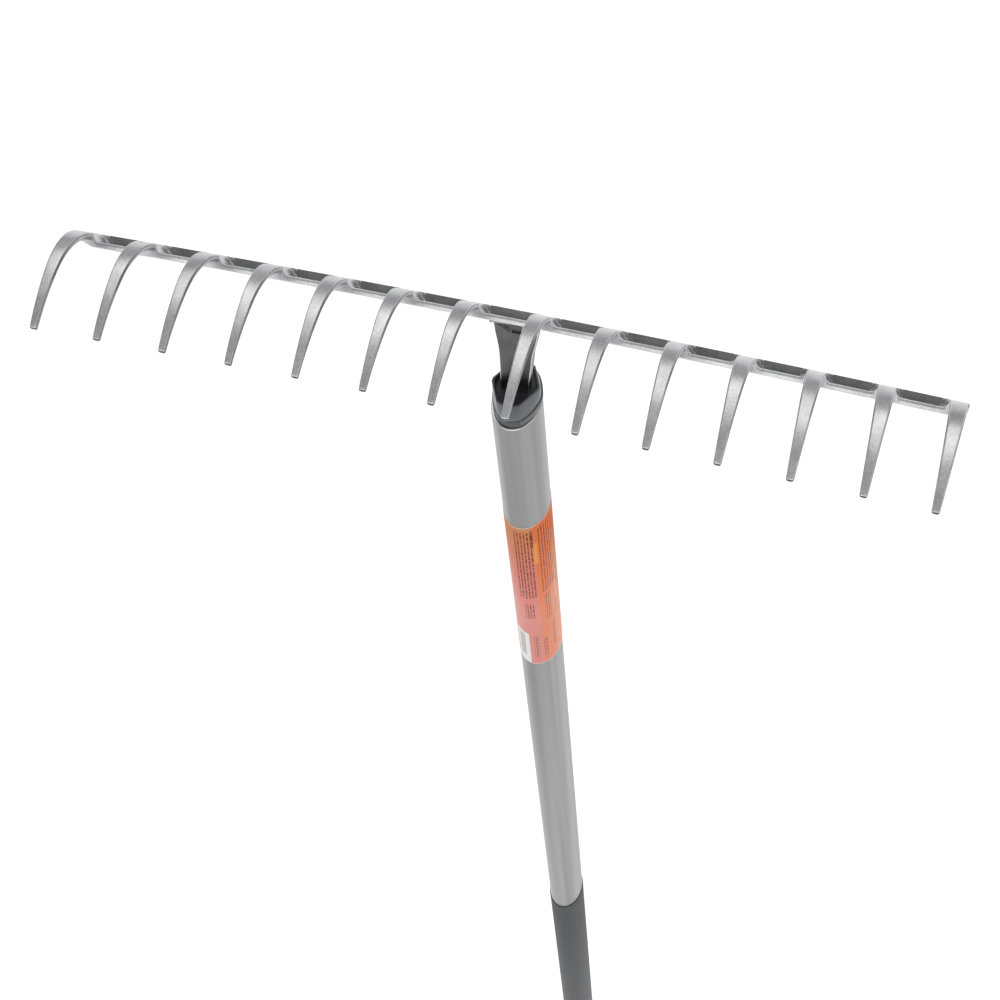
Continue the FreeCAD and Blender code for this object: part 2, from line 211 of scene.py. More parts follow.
def new_piece(name, verts, faces, materials, slot, node, sharp, marks=None):
    """Mesh object that rides on the root body and stands for a CAD node; marks are its faces'
    material indices, and edges that turn by more than sharp degrees stay crisp."""
    mesh = bpy.data.meshes.new(name)
    mesh.from_pydata(verts, [], faces)
    if mesh.validate():
        raise RuntimeError(name + " has broken faces")
    mesh.shade_smooth()
    mesh.set_sharp_from_angle(angle=math.radians(sharp))
    for material in materials:
        mesh.materials.append(material)
    if marks:
        mesh.polygons.foreach_set("material_index", marks)
    piece = bpy.data.objects.new(name, mesh)
    bpy.context.scene.collection.objects.link(piece)
    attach(piece, BODY)
    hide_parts(node)
    return piece


def loft(rings, endless=False):
    """Vertices and faces of a skin through rings; endless joins the last ring to the first."""
    count = len(rings[0])
    verts = [point for ring in rings for point in ring]
    faces = []
    for row in range(len(rings) if endless else len(rings) - 1):
        base = row * count
        ahead = (base + count) % len(verts)
        for i in range(count):
            j = (i + 1) % count
            faces.append((base + i, base + j, ahead + j, ahead + i))
    if not endless:
        faces.append(tuple(reversed(range(count))))
        faces.append(tuple(range(len(verts) - count, len(verts))))
    return verts, faces


def spread(start, end, fine, coarse, margin):
    """Positions from start to end, finely spaced within a margin of both ends."""
    margin = min(margin, (end - start) / 2)
    edge_steps = max(1, round(margin / fine))
    middle = end - start - 2 * margin
    middle_steps = max(1, round(middle / coarse))
    places = [start + margin * i / edge_steps for i in range(edge_steps)]
    places += [start + margin + middle * i / middle_steps for i in range(middle_steps)]
    places += [end - margin + margin * i / edge_steps for i in range(edge_steps + 1)]
    return places


def through(stations, position):
    """Smooth value through rows of (position, value, ...), one value per column."""
    rows = sorted(stations)
    index = max(i for i in range(len(rows) - 1) if i == 0 or rows[i][0] <= position)
    before = rows[max(index - 1, 0)]
    low, high = rows[index], rows[index + 1]
    after = rows[min(index + 2, len(rows) - 1)]
    span = high[0] - low[0]
    t = min(max((position - low[0]) / span, 0.0), 1.0)
    values = []
    for column in range(1, len(low)):
        lead = (high[column] - before[column]) / max(high[0] - before[0], TINY) * span
        lag = (after[column] - low[column]) / max(after[0] - low[0], TINY) * span
        a = 2 * low[column] - 2 * high[column] + lead + lag
        b = 3 * high[column] - 3 * low[column] - 2 * lead - lag
        values.append(((a * t + b) * t + lead) * t + low[column])
    return values


def oval_ring(a, b, z, points=128):
    """Oval in metres round the handle axis."""
    turns = [math.tau * i / points for i in range(points)]
    return [Vector((a * math.cos(turn), b * math.sin(turn), z)) for turn in turns]


# ---- materials -----------------------------------------------------------------------
# Pattern sizes in millimetres.
BLAST_GRIT = 0.9              # real dimples are about 0.3 mm; drawn coarser to show
BLAST_CLOUD = 9.0             # patches where the blast dwelt
PIT_SPACING = 2.6             # casting pores
DIE_LINE = 0.9                # real die lines are about 0.1 mm apart; drawn coarser to show
DIE_STREAK = 7.0              # broader bands left by the drawing die
DIE_STRETCH = 0.012           # scale along the tube, which draws the die lines out
MOULD_CLOUD = 14.0            # flow marks in moulded plastic
ZINC_MOTTLE = 1.2             # spangle of the passivation
FILM_RIPPLE = 6.0             # unevenness of the laminate

ZINC_DARK, ZINC_LIGHT = "#A9ABAE", "#D5D6D2"
SAWN_LIGHT, SAWN_DARK = "#EDEDED", "#E2E2E2"
INSERT_COLOUR = "#2F3134"


def new_material(name):
    """Empty node material and its tree."""
    material = bpy.data.materials.new(name)
    material.use_nodes = True
    material.node_tree.nodes.clear()
    return material, material.node_tree


def add(tree, kind, inputs=None, **settings):
    """Adds a node, applies its settings and fills its inputs with values, or with links from
    sockets or from the first outputs of nodes."""
    node = tree.nodes.new(kind)
    for key, value in settings.items():
        setattr(node, key, value)
    for key, value in (inputs or {}).items():
        if isinstance(value, bpy.types.Node):
            value = value.outputs[0]
        if isinstance(value, bpy.types.NodeSocket):
            tree.links.new(value, node.inputs[key])
        else:
            node.inputs[key].default_value = value
    return node


def surface(tree, inputs):
    """Principled shader with its inputs, joined to the material's output."""
    shader = add(tree, "ShaderNodeBsdfPrincipled", inputs)
    add(tree, "ShaderNodeOutputMaterial", {"Surface": shader})


def cast_aluminium(name, light, dark, grain_depth):
    """Cast aluminium, shot-blasted, or a sawn end: a dull silver skin with cloudy tone and fine pitting,
    whose tone the two colours give.
    Given grey colours, it makes the painted-shade copies of the casting."""
    material, tree = new_material(name)
    spot = add(tree, "ShaderNodeTexCoord").outputs["Object"]
    cloud = add(tree, "ShaderNodeTexNoise", {"Vector": spot, "Scale": per_mm(BLAST_CLOUD),
                                             "Detail": 3.0})
    grain = add(tree, "ShaderNodeTexNoise", {"Vector": spot, "Scale": per_mm(BLAST_GRIT), "Detail": 4.0,
                                             "Roughness": 0.7})
    pits = add(tree, "ShaderNodeTexVoronoi", {"Vector": spot, "Scale": per_mm(PIT_SPACING)})
    pit_mask = add(tree, "ShaderNodeMapRange", {"Value": pits, "From Min": 0.05, "From Max": 0.14,
                                                "To Min": 1.0, "To Max": 0.0})
    shade = add(tree, "ShaderNodeMapRange", {"Value": cloud, "From Min": 0.35, "From Max": 0.68})
    tone = add(tree, "ShaderNodeMix", {"Factor": shade, "A": dark, "B": light}, data_type="RGBA")
    speck = add(tree, "ShaderNodeMapRange", {"Value": grain, "From Min": 0.3, "From Max": 0.7,
                                             "To Min": 0.78, "To Max": 1.12})
    colour = add(tree, "ShaderNodeVectorMath", {0: tone.outputs["Result"], "Scale": speck},
                 operation="SCALE")
    gloss = add(tree, "ShaderNodeMapRange", {"Value": grain, "To Min": 0.26, "To Max": 0.44})
    relief = add(tree, "ShaderNodeMath", {0: grain, 1: pit_mask}, operation="SUBTRACT")
    bump = add(tree, "ShaderNodeBump", {"Height": relief, "Distance": grain_depth * MM,
                                        "Strength": 0.5})
    surface(tree, {"Base Color": colour, "Metallic": 1.0, "Roughness": gloss, "Normal": bump})
    return material


def anodised_aluminium():
    """Aluminium, drawn and satin anodised: even pale grey with faint lengthwise die lines."""
    material, tree = new_material("aluminium_drawn_satin_anodised")
    spot = add(tree, "ShaderNodeTexCoord").outputs["Object"]
    along = add(tree, "ShaderNodeMapping", {"Vector": spot, "Scale": (1.0, 1.0, DIE_STRETCH)})
    lines = add(tree, "ShaderNodeTexNoise", {"Vector": along, "Scale": per_mm(DIE_LINE), "Detail": 3.0})
    streak = add(tree, "ShaderNodeTexNoise", {"Vector": along, "Scale": per_mm(DIE_STREAK),
                                              "Detail": 1.0})
    mixed = add(tree, "ShaderNodeMath", {0: lines, 1: 0.25, 2: streak}, operation="MULTIPLY_ADD")
    level = add(tree, "ShaderNodeMapRange", {"Value": mixed, "From Min": 0.4, "From Max": 0.85,
                                             "To Min": 0.78, "To Max": 1.22})
    colour = add(tree, "ShaderNodeVectorMath", {0: colours().tube[:3], "Scale": level},
                 operation="SCALE")
    gloss = add(tree, "ShaderNodeMapRange", {"Value": lines, "To Min": 0.32, "To Max": 0.42})
    bump = add(tree, "ShaderNodeBump", {"Height": lines, "Distance": 0.01 * MM, "Strength": 0.4})
    surface(tree, {"Base Color": colour, "Metallic": 1.0, "Roughness": gloss, "Normal": bump})
    return material


def moulded_plastic(name, colour, grain, depth, rough_low, rough_high):
    """Moulded plastic with an eroded-mould grain: a soft, slightly uneven sheen. The grain's size and
    depth are in millimetres, and the roughness runs between two values."""
    material, tree = new_material(name)
    spot = add(tree, "ShaderNodeTexCoord").outputs["Object"]
    skin = add(tree, "ShaderNodeTexNoise", {"Vector": spot, "Scale": per_mm(grain), "Detail": 3.0,
                                            "Roughness": 0.6})
    cloud = add(tree, "ShaderNodeTexNoise", {"Vector": spot, "Scale": per_mm(MOULD_CLOUD),
                                             "Detail": 2.0})
    level = add(tree, "ShaderNodeMapRange", {"Value": cloud, "From Min": 0.3, "From Max": 0.7,
                                             "To Min": 0.9, "To Max": 1.1})
    tint = add(tree, "ShaderNodeVectorMath", {0: colour[:3], "Scale": level}, operation="SCALE")
    gloss = add(tree, "ShaderNodeMapRange", {"Value": skin, "To Min": rough_low, "To Max": rough_high})
    bump = add(tree, "ShaderNodeBump", {"Height": skin, "Distance": depth * MM, "Strength": 0.5})
    surface(tree, {"Base Color": tint, "IOR": 1.5, "Roughness": gloss, "Normal": bump})
    return material


def zinc_steel():
    """Steel, zinc plated: pale silver with a faint passivation mottle."""
    material, tree = new_material("steel_zinc_plated")
    spot = add(tree, "ShaderNodeTexCoord").outputs["Object"]
    mottle = add(tree, "ShaderNodeTexNoise", {"Vector": spot, "Scale": per_mm(ZINC_MOTTLE),
                                              "Detail": 3.0})
    tone = add(tree, "ShaderNodeMix", {"Factor": mottle, "A": linear(ZINC_DARK),
                                       "B": linear(ZINC_LIGHT)}, data_type="RGBA")
    gloss = add(tree, "ShaderNodeMapRange", {"Value": mottle, "To Min": 0.22, "To Max": 0.4})
    surface(tree, {"Base Color": tone.outputs["Result"], "Metallic": 1.0, "Roughness": gloss})
    return material


# ---- the cast head -------------------------------------------------------------------
def bow(x):
    """How far forward the crossbar stands at a distance x from its middle."""
    return BOW_RADIUS - math.sqrt(BOW_RADIUS ** 2 - x ** 2)


def tine_places():
    """X of every tine, with the wider middle gap shared by both halves."""
    places = []
    for index in range(TINE_COUNT):
        step = index - (TINE_COUNT - 1) / 2
        places.append(step * TINE_PITCH + math.copysign(CENTRE_GAP_EXTRA / 2, step))
    return places


def tine_path(along):
    """Point (y, z) and heading on the outer face of a tine, from its root."""
    heading = ROOT_ANGLE
    run = min(along, ROOT_RUN)
    y = ROOT_Y - run * math.cos(heading)
    z = ROOT_Z + run * math.sin(heading)
    for start, radius, turn in ((ROOT_RUN, BEND_RADIUS, BEND_ANGLE),
                                (ROOT_RUN + BEND_RUN, TIP_RADIUS, TIP_ANGLE)):
        if along <= start:
            break
        now = heading - min((along - start) / radius, turn)
        y += radius * (math.sin(now) - math.sin(heading))
        z += radius * (math.cos(now) - math.cos(heading))
        heading = now
    return y, z, heading


def tine_point(along, deep):
    """Point (y, z) at a depth below the outer face of a tine."""
    y, z, heading = tine_path(along)
    return y - deep * math.sin(heading), z - deep * math.cos(heading)


def bar_point(x, along, deep):
    """Frame point of the crossbar, measured along and square to the tine root."""
    y = ROOT_Y - along * math.cos(ROOT_ANGLE) - deep * math.sin(ROOT_ANGLE)
    z = ROOT_Z + along * math.sin(ROOT_ANGLE) - deep * math.cos(ROOT_ANGLE)
    return place(x, y - bow(x), z)


def tine_section(half, thickness, edge, flash):
    """Right half of a drafted section with rounded edges and a parting line."""
    draft = TINE_DRAFT * half
    middle = thickness * PARTING_LEVEL
    upper = half - draft
    lower = half - UNDER_DRAFT * draft
    turns = [math.radians(turn) for turn in EDGE_TURNS]
    points = [(0.0, 0.0), (upper / 2, 0.0)]
    points += [(upper - edge + edge * math.cos(turn), edge - edge * math.sin(turn)) for turn in turns]
    points += [(half, middle - flash), (half + flash, middle), (half, middle + flash)]
    points += [(lower - edge + edge * math.cos(turn), thickness - edge + edge * math.sin(turn))
               for turn in reversed(turns)]
    points += [(lower / 2, thickness), (0.0, thickness)]
    return points


def tine_rings(x_middle):
    """Section rings of one tine, from behind the crossbar's rim to the blunt tip."""
    size = sizes()
    half_root = size.tine_half_width / MM
    half_tip = size.tip_half_width / MM
    edge = size.tine_edge / MM
    flash = size.parting_line / MM
    tip_y = tine_path(TINE_RUN)[0]
    toe_in = TIP_TOE_IN if abs(x_middle) > BAR_HALF_LENGTH - TINE_PITCH / 2 else 0.0
    round_start = TINE_RUN - TIP_ROUND
    stations = spread(0.0, round_start, *TINE_SPACING)
    stations += [TINE_RUN - TIP_ROUND * (1 - math.sin(math.radians(turn))) for turn in TIP_TURNS]
    rings = []
    for along in stations:
        y_here = tine_path(along)[0]
        share = min(max((TAPER_START_Y - y_here) / (TAPER_START_Y - tip_y), 0.0), 1.0)
        half = half_root + (half_tip - half_root) * share
        thickness = TINE_THICKNESS + TIP_EXTRA * share
        x_here = x_middle * (1 - toe_in * share / abs(x_middle))
        rounded = max(along - round_start, 0.0) / TIP_ROUND
        full = math.sqrt(max(1 - rounded * rounded, 0.0))
        half -= TIP_NARROWING * (1 - full)
        thin = TIP_THINNING * (1 - full)
        section = tine_section(half, thickness - thin, min(edge, EDGE_LIMIT * half), flash * full)
        ring = []
        for sign, points in ((1, section), (-1, reversed(section[1:-1]))):
            for across, deep in points:
                y, z = tine_point(along, deep + thin / 2 + TINE_SKIN)
                ring.append(place(x_here + sign * across, y - bow(x_middle), z))
        rings.append(ring)
    return rings


def tine_marks(rings):
    """Material index of every face of a tine: 0 for the pale casting on the outer face, upper edge and
    parting line, 1 for painted shade on the flanks and underside, and 2, the neck's darker painted
    shade, at the tip and on both end faces."""
    count = len(rings[0])
    across = [0 if min(i, count - 1 - i) in UNSHADED_FACES else 1 for i in range(count)]
    return across * (len(rings) - 1 - TIP_SHADE_ROWS) + [2] * (count * TIP_SHADE_ROWS + 2)


def rounded_box_distance(x, u, half_x, half_u, radius):
    """Signed distance to a rounded rectangle, negative inside."""
    dx = max(abs(x) - (half_x - radius), 0.0)
    du = max(abs(u) - (half_u - radius), 0.0)
    inside = min(max(abs(x) - half_x, abs(u) - half_u), 0.0)
    return math.hypot(dx, du) - radius if (dx or du) else inside


def bar_depth(x_from_gap, half_gap, u):
    """Depth of the crossbar's upper face below the tine face, in the gap between two tines."""
    middle_u = (RIM + GAP_FRONT) / 2
    recess = rounded_box_distance(x_from_gap, u - middle_u, half_gap, middle_u - RIM, CORNER_RADIUS)
    wall = LAND_DEPTH * smooth_step(-recess / POCKET_WALL)
    inward = min(max(half_gap - abs(x_from_gap), 0.0), FILLET)
    fillet = LAND_DEPTH - FILLET + math.sqrt(FILLET ** 2 - (FILLET - inward) ** 2)
    pocket_front = BAR_WIDTH - FRONT_LAND
    middle_u = (RIM + pocket_front) / 2
    half_u = (pocket_front - RIM) / 2
    half_x = half_gap - FILLET * FILLET_SHARE
    pocket = rounded_box_distance(x_from_gap, u - middle_u, half_x, half_u, CORNER_RADIUS)
    return max(min(wall, fillet), BAR_SKIN) + POCKET_DEPTH * smooth_step(-pocket / POCKET_WALL)


def bar_columns():
    """X positions along the crossbar with the gap each belongs to."""
    half = sizes().tine_half_width / MM - TINE_LAP
    places = tine_places()
    columns = [(x, None) for x in spread(-BAR_HALF_LENGTH, places[0] + half, *BAR_END_SPACING)[:-1]]
    for left, right in zip(places, places[1:]):
        start = left + half
        end = right - half
        gap = ((start + end) / 2, (end - start) / 2)
        columns += [(x, gap) for x in spread(start, end, *BAR_GAP_SPACING)]
        if right != places[-1]:
            columns += [(x, None) for x in spread(end, right + half, *BAR_TINE_SPACING)[1:-1]]
    columns += [(x, None) for x in spread(places[-1] - half, BAR_HALF_LENGTH, *BAR_END_SPACING)[1:]]
    return columns


def bar_skin():
    """Closed sections of the crossbar, one for each column, and the material of every face."""
    rows = spread(TOP_EDGE, BAR_WIDTH - TOP_EDGE, *BAR_ROW_SPACING)
    foot, side = FOOT_EDGE
    rings, tops_of = [], []
    for x, gap in bar_columns():
        cut = END_CUT_DEPTH * max(abs(x) - (BAR_HALF_LENGTH - END_CUT), 0.0) / END_CUT
        low = BAR_DEPTH - cut
        tops = [bar_depth(x - gap[0], gap[1], u) if gap else BAR_SKIN for u in rows]
        first, last = tops[0], tops[-1]
        section = [(foot, low), (0.0, low - side), (0.0, (low + first) / 2), (0.0, first + TOP_EDGE)]
        section += list(zip(rows, tops))
        section += [(BAR_WIDTH, last + TOP_EDGE), (BAR_WIDTH, (last + low) / 2), (BAR_WIDTH, low - side),
                    (BAR_WIDTH - foot, low), (BAR_WIDTH * UNDERSIDE_SPLIT, low)]
        rings.append([bar_point(x, u, w) for u, w in section])
        tops_of.append(tops)
    marks = []                # 0 keeps the pale casting colour on the bar's front, rim, land and top edges; 1 is painted shade on its back, underside and deeper gap faces
    for column in range(len(rings) - 1):
        marks += [1, 1, 1, 0]
        for row in range(len(rows) - 1):
            deep = sum(tops_of[c][r] for c in (column, column + 1) for r in (row, row + 1)) / 4
            land = rows[row] > RIM + POCKET_WALL and deep < LAND_DEPTH + LAND_UNSHADED
            marks.append(0 if deep < RIM_UNSHADED or land else 1)
        marks += [0, 0, 0, 0, 1, 1]
    return rings, marks + [0, 0]


# Neck stations: distance along it, front (y, z), back (y, z), half width, millimetres.
NECK_STATIONS = (
    (0.0, 12.9, -172.0, 18.9, -172.0, 6.0),
    (69.0, 12.9, -103.0, 18.9, -103.0, 6.0),
    (74.0, 12.9, -98.0, 18.9, -98.5, 7.0),
    (81.0, 13.2, -91.0, 19.3, -92.0, 7.1),
    (88.0, 14.2, -84.0, 20.2, -85.6, 7.25),
    (94.0, 16.0, -78.0, 21.8, -79.8, 7.4),
    (102.5, 18.7, -70.0, 24.5, -71.8, 8.0),
    (111.0, 20.9, -62.0, 26.7, -63.8, 8.6),
    (117.0, 22.8, -56.0, 28.6, -57.8, 9.7),
    (122.3, 23.9, -51.0, 29.8, -52.4, 10.6),
    (127.5, 24.8, -46.0, 30.8, -46.6, 11.2),
    (132.5, 24.4, -41.0, 31.0, -40.0, 11.6),
    (137.8, 21.5, -36.6, 27.6, -35.2, 11.2),
    (143.8, 17.0, -32.6, 24.0, -31.8, 9.3),
    (151.3, 12.6, -26.5, 20.4, -30.8, 8.2),
    (158.5, 10.8, -22.0, 18.0, -31.0, 8.0),
)
NECK_STEP_LEVEL = -50.0       # lowest point of the arched step, at the middle of the blade
NECK_STEP_CURVE = 0.075       # rise of the arch, per square of the distance from its middle
NECK_STEP_HALF = 5.5          # beyond this half width the arch runs straight
NECK_STEP_SLOPE = 0.45        # and rises by this for each millimetre
NECK_STEP_RUN = 0.5           # height over which the hollow reaches its depth
NECK_STEP_SPAN = (118.0, 133.0)  # stretch of the neck that holds the step
CHAMFER_BULGE = 0.3           # keeps the front chamfer full, per width of the chamfer


def neck_step(x):
    """Height of the arched step across the neck's front."""
    near = min(abs(x), NECK_STEP_HALF)
    return NECK_STEP_LEVEL + NECK_STEP_CURVE * near ** 2 + NECK_STEP_SLOPE * (abs(x) - near)


def neck_skin():
    """Closed sections of the neck and tang, and the material of every face."""
    size = sizes()
    edge = size.neck_edge / MM
    recess = size.neck_recess / MM
    bulge = edge * CHAMFER_BULGE
    step_start, step_end = NECK_STEP_SPAN
    stations = spread(0.0, step_start, *TANG_SPACING)[:-1]
    stations += spread(step_start, step_end, *STEP_SPACING)[:-1]
    stations += spread(step_end, NECK_STATIONS[-1][0], *NECK_TOP_SPACING)
    shares = spread(-1.0, 1.0, *NECK_SHARES)
    rings = []
    for along in stations:
        front_y, front_z, back_y, back_z, half = through(NECK_STATIONS, along)
        thick = math.hypot(back_y - front_y, back_z - front_z)
        flat = half - edge
        ring = []
        for x in [share * flat for share in shares]:
            rise = front_z - neck_step(x)
            ring.append((x, recess * smooth_step(rise / NECK_STEP_RUN)))
        ring += [(half - bulge, bulge), (half, edge), (half, thick - edge)]
        ring += [(x, thick) for x in (flat, flat / 2, 0.0, -flat / 2, -flat)]
        ring += [(-half, thick - edge), (-half, edge), (bulge - half, bulge)]
        rings.append([place(x, front_y + (back_y - front_y) * (deep / thick),
                            front_z + (back_z - front_z) * (deep / thick)) for x, deep in ring])
    # Painted shade covers the neck; only the two chamfers along the front keep the pale casting colour.
    across = [1] * (len(shares) - 1) + [0, 0] + [1] * 8 + [0, 0]
    return rings, across * (len(rings) - 1) + [1, 1]


class RAKE_OT_casting(bpy.types.Operator):
    """Cast head: bowed crossbar with pockets, fourteen tines, neck and tang"""
    bl_idname = "rake.casting"
    bl_label = "Cast head"

    def execute(self, context):
        tint = colours()
        # The pale material is the blasted casting; its grey copies are painted shade on the flanks,
        # back, underside and recesses, darkest on the neck and the tine tips.
        skin = cast_aluminium("aluminium_cast_shot_blasted", tint.casting[:], tint.casting_dark[:],
                              grain_depth=0.05)
        shaded_casting = cast_aluminium("aluminium_casting_painted_shade", tint.casting_painted_shade[:], tint.casting_painted_shade_dark[:],
                               grain_depth=0.03)
        blade = cast_aluminium("aluminium_neck_painted_shade", tint.neck[:], tint.neck_dark[:],
                               grain_depth=0.03)
        # Material 0 is the pale casting; 1 and 2 are painted shade.
        finishes = [skin, shaded_casting, blade]
        for number, x in enumerate(tine_places(), 1):
            rings = tine_rings(x)
            new_piece("tine_%02d" % number, *loft(rings), finishes, "cast_aluminium", "head_tines",
                      sharp=32, marks=tine_marks(rings))
        rings, marks = bar_skin()
        new_piece("crossbar", *loft(rings), finishes, "cast_aluminium", "head_crossbar",
                  sharp=50, marks=marks)
        rings, marks = neck_skin()
        new_piece("neck_and_tang", *loft(rings), [skin, blade], "cast_aluminium", "head_neck",
                  sharp=40, marks=marks)
        return {"FINISHED"}


# ---- collar, tube, sleeve, cap -------------------------------------------------------
# Collar outline, millimetres: height above the tube end, half sizes along X and Y, middle in X
# and Y, rise per millimetre towards the back, and how far the four flats are cut.
COLLAR_OUTLINE = (
    (-4.5, 10.9, 15.9, 0.0, 0.0, 0.0, 0.0),
    (-0.2, 10.9, 15.9, 0.0, 0.0, 0.0, 0.0),
    (0.0, 12.2, 16.9, 0.35, 1.2, 0.0, 0.25),
    (0.3, 12.6, 17.3, 0.35, 1.2, 0.0, 0.25),
    (4.8, 12.6, 17.3, 0.35, 1.2, 0.0, 0.25),
    (5.2, 12.3, 17.0, 0.35, 1.1, 0.0, 0.25),
    (5.4, 12.0, 16.6, 0.3, 0.8, 0.0, 0.3),
    (5.9, 12.1, 16.7, 0.3, 0.75, -0.01, 0.35),
    (10.5, 12.2, 16.5, 0.25, 0.7, -0.09, 0.65),
    (14.7, 12.2, 16.2, 0.2, 0.6, -0.2, 1.0),
    (15.4, 12.0, 16.0, 0.2, 0.6, -0.22, 1.0),
    (15.6, 11.6, 15.6, 0.2, 0.6, -0.22, 1.0),
    (15.5, 10.9, 14.9, 0.2, 0.6, -0.22, 0.8),
    (15.0, 10.6, 14.6, 0.2, 0.6, -0.22, 0.6),
    (12.6, 10.4, 14.4, 0.2, 0.6, -0.13, 0.4),
    (12.2, 10.0, 14.0, 0.2, 0.6, -0.12, 0.4),
    (12.2, 5.0, 7.0, 0.2, 0.6, -0.12, 0.0),
)
MOUTH_SHADE_ROW = 13               # rings from here on line the mouth, in painted shade
FLAT_NORMAL = Vector((0.907, 0.422))  # direction that one of the flats faces, seen from above
FLAT_REACH = 0.942            # distance of a flat from the middle, per half size along X


def collar_ring(row, points=120):
    """One ring of the collar, with its four flats."""
    height, a, b, middle_x, middle_y, rise, cut = row
    ring = []
    for i in range(points):
        turn = math.tau * i / points
        x, y = a * math.cos(turn), b * math.sin(turn)
        normal = Vector((math.copysign(FLAT_NORMAL.x, x), math.copysign(FLAT_NORMAL.y, y)))
        over = max(x * normal.x + y * normal.y - FLAT_REACH * a, 0.0) * cut
        x += middle_x - normal.x * over
        y += middle_y - normal.y * over
        ring.append(Vector((x * MM, y * MM, TUBE_HIGH[2] + (height + rise * y) * MM)))
    return ring


class RAKE_OT_collar(bpy.types.Operator):
    """Moulded collar with flats, a foot ring and a slanting mouth on the end of the tube"""
    bl_idname = "rake.collar"
    bl_label = "Socket collar"

    def execute(self, context):
        # Fine-grained polyamide is charcoal with a soft sheen; inside the mouth it is duller, with
        # painted shade darkening its colour.
        plastic = moulded_plastic("polyamide_moulded_fine_grain", colours().collar[:], grain=0.5,
                                  depth=0.02, rough_low=0.24, rough_high=0.4)
        inner = moulded_plastic("polyamide_moulded_mouth_painted_shade", colours().mouth_painted_shade[:], grain=0.5,
                                depth=0.02, rough_low=0.45, rough_high=0.6)
        rings = [collar_ring(row) for row in COLLAR_OUTLINE]
        count = len(rings[0])
        marks = [0] * (count * MOUTH_SHADE_ROW) + [1] * (count * (len(rings) - 1 - MOUTH_SHADE_ROW)) + [0, 1]
        new_piece("socket_collar_moulding", *loft(rings), [plastic, inner], "collar_plastic",
                  "socket_collar", sharp=28, marks=marks)
        return {"FINISHED"}


TUBE_WALL = 1.2 * MM
TUBE_BREAK = 0.4 * MM         # chamfer where the saw's burr was broken off


class RAKE_OT_tube(bpy.types.Operator):
    """Drawn oval aluminium tube with an open bore"""
    bl_idname = "rake.tube"
    bl_label = "Shaft tube"

    def execute(self, context):
        metal = anodised_aluminium()
        # A sawn end is bare metal, brighter than the anodised wall.
        sawn = cast_aluminium("aluminium_sawn_end", linear(SAWN_LIGHT), linear(SAWN_DARK),
                              grain_depth=0.02)
        a, b = TUBE_HIGH[0], TUBE_HIGH[1]
        low, high = TUBE_LOW[2], TUBE_HIGH[2]
        # Inset from the outside and height of each ring, and the material of the faces above it.
        profile = ((TUBE_WALL, low, 1), (TUBE_BREAK, low, 1), (0.0, low + TUBE_BREAK, 0),
                   (0.0, (low + high) / 2, 0), (0.0, high - TUBE_BREAK, 1), (TUBE_BREAK, high, 1),
                   (TUBE_WALL, high, 0))
        rings = [oval_ring(a - inset, b - inset, z) for inset, z, _ in profile]
        marks = [mark for *_, mark in profile for _ in rings[0]]
        new_piece("shaft_tube_oval", *loft(rings, endless=True), [metal, sawn], "tube_aluminium",
                  "shaft_tube", sharp=30, marks=marks)
        return {"FINISHED"}


def wrap_strip(grow, half_turn, steps=120):
    """Outer and inner points of a film wrapped round the tube's front, with its arc lengths."""
    a, b = TUBE_HIGH[0], TUBE_HIGH[1]
    columns = []
    arc = 0.0
    before = None
    for i in range(steps + 1):
        angle = half_turn * (2 * i / steps - 1)
        outer = Vector(((a + grow) * math.sin(angle), -(b + grow) * math.cos(angle), 0.0))
        inner = Vector((a * math.sin(angle), -b * math.cos(angle), 0.0))
        arc += (outer - before).length if before else 0.0
        before = outer
        columns.append((inner, outer, arc))
    middle = columns[-1][2] / 2
    return [(inner, outer, arc - middle) for inner, outer, arc in columns]


LABEL_HALF_TURN = math.radians(159.5)  # from the front of the tube round to the film's edge
LABEL_ROUNDING = 0.08 * MM    # at the film's upper and lower edges
LABEL_LIP = 0.4               # how far in the cut edge is rounded, per thickness of the film

# Print in millimetres round the tube from its front and up from the film's lower edge.
# Blocks of small print: middle round, middle up, half round, half up, line pitch, ink share.
LABEL_TEXT = (
    (1.2, 130.0, 5.4, 40.0, 1.8, 0.5),
    (6.3, 161.0, 0.9, 10.0, 2.1, 0.75),
    (16.2, 131.0, 5.6, 39.0, 2.1, 0.42),
    (25.0, 120.0, 3.0, 46.0, 1.9, 0.45),
    (1.4, 73.0, 2.7, 9.5, 1.6, 0.5),
    (13.4, 72.0, 2.5, 16.5, 1.7, 0.5),
    (23.0, 60.0, 2.5, 10.0, 1.7, 0.5),
    (17.0, 30.0, 1.2, 16.0, 2.2, 0.6),
    (3.4, 24.0, 1.4, 15.0, 1.5, 0.5),
    (9.6, 21.0, 1.6, 12.0, 1.6, 0.5),
)
WORD_LENGTH = 1.5             # spacing of the words in a line
WORD_GAPS = 0.46              # noise below this leaves a gap between words
# Plain blocks: middle round, middle up, half round, half up.
LABEL_WHITE = (-5.9, 21.5, 4.9, 20.5)
LABEL_BARS = (-6.4, 23.0, 2.4, 15.0)
LABEL_YELLOW = ((8.2, 143.0, 1.1, 12.0), (22.6, 92.0, 1.7, 44.0))
BARS_PITCH, BARS_SHARE = 2.3, 0.48
LABEL_PINK_EDGE = 7.6         # the left column ends here
LABEL_BROWN = (118.0, 165.0)  # the left column turns from pink to brown between these heights
LABEL_BORDER = 0.7            # unprinted border at the top and bottom
WHITE_COLOUR, BARS_COLOUR, BORDER_COLOUR = "#F0EFEE", "#5C5552", "#E2D6CC"


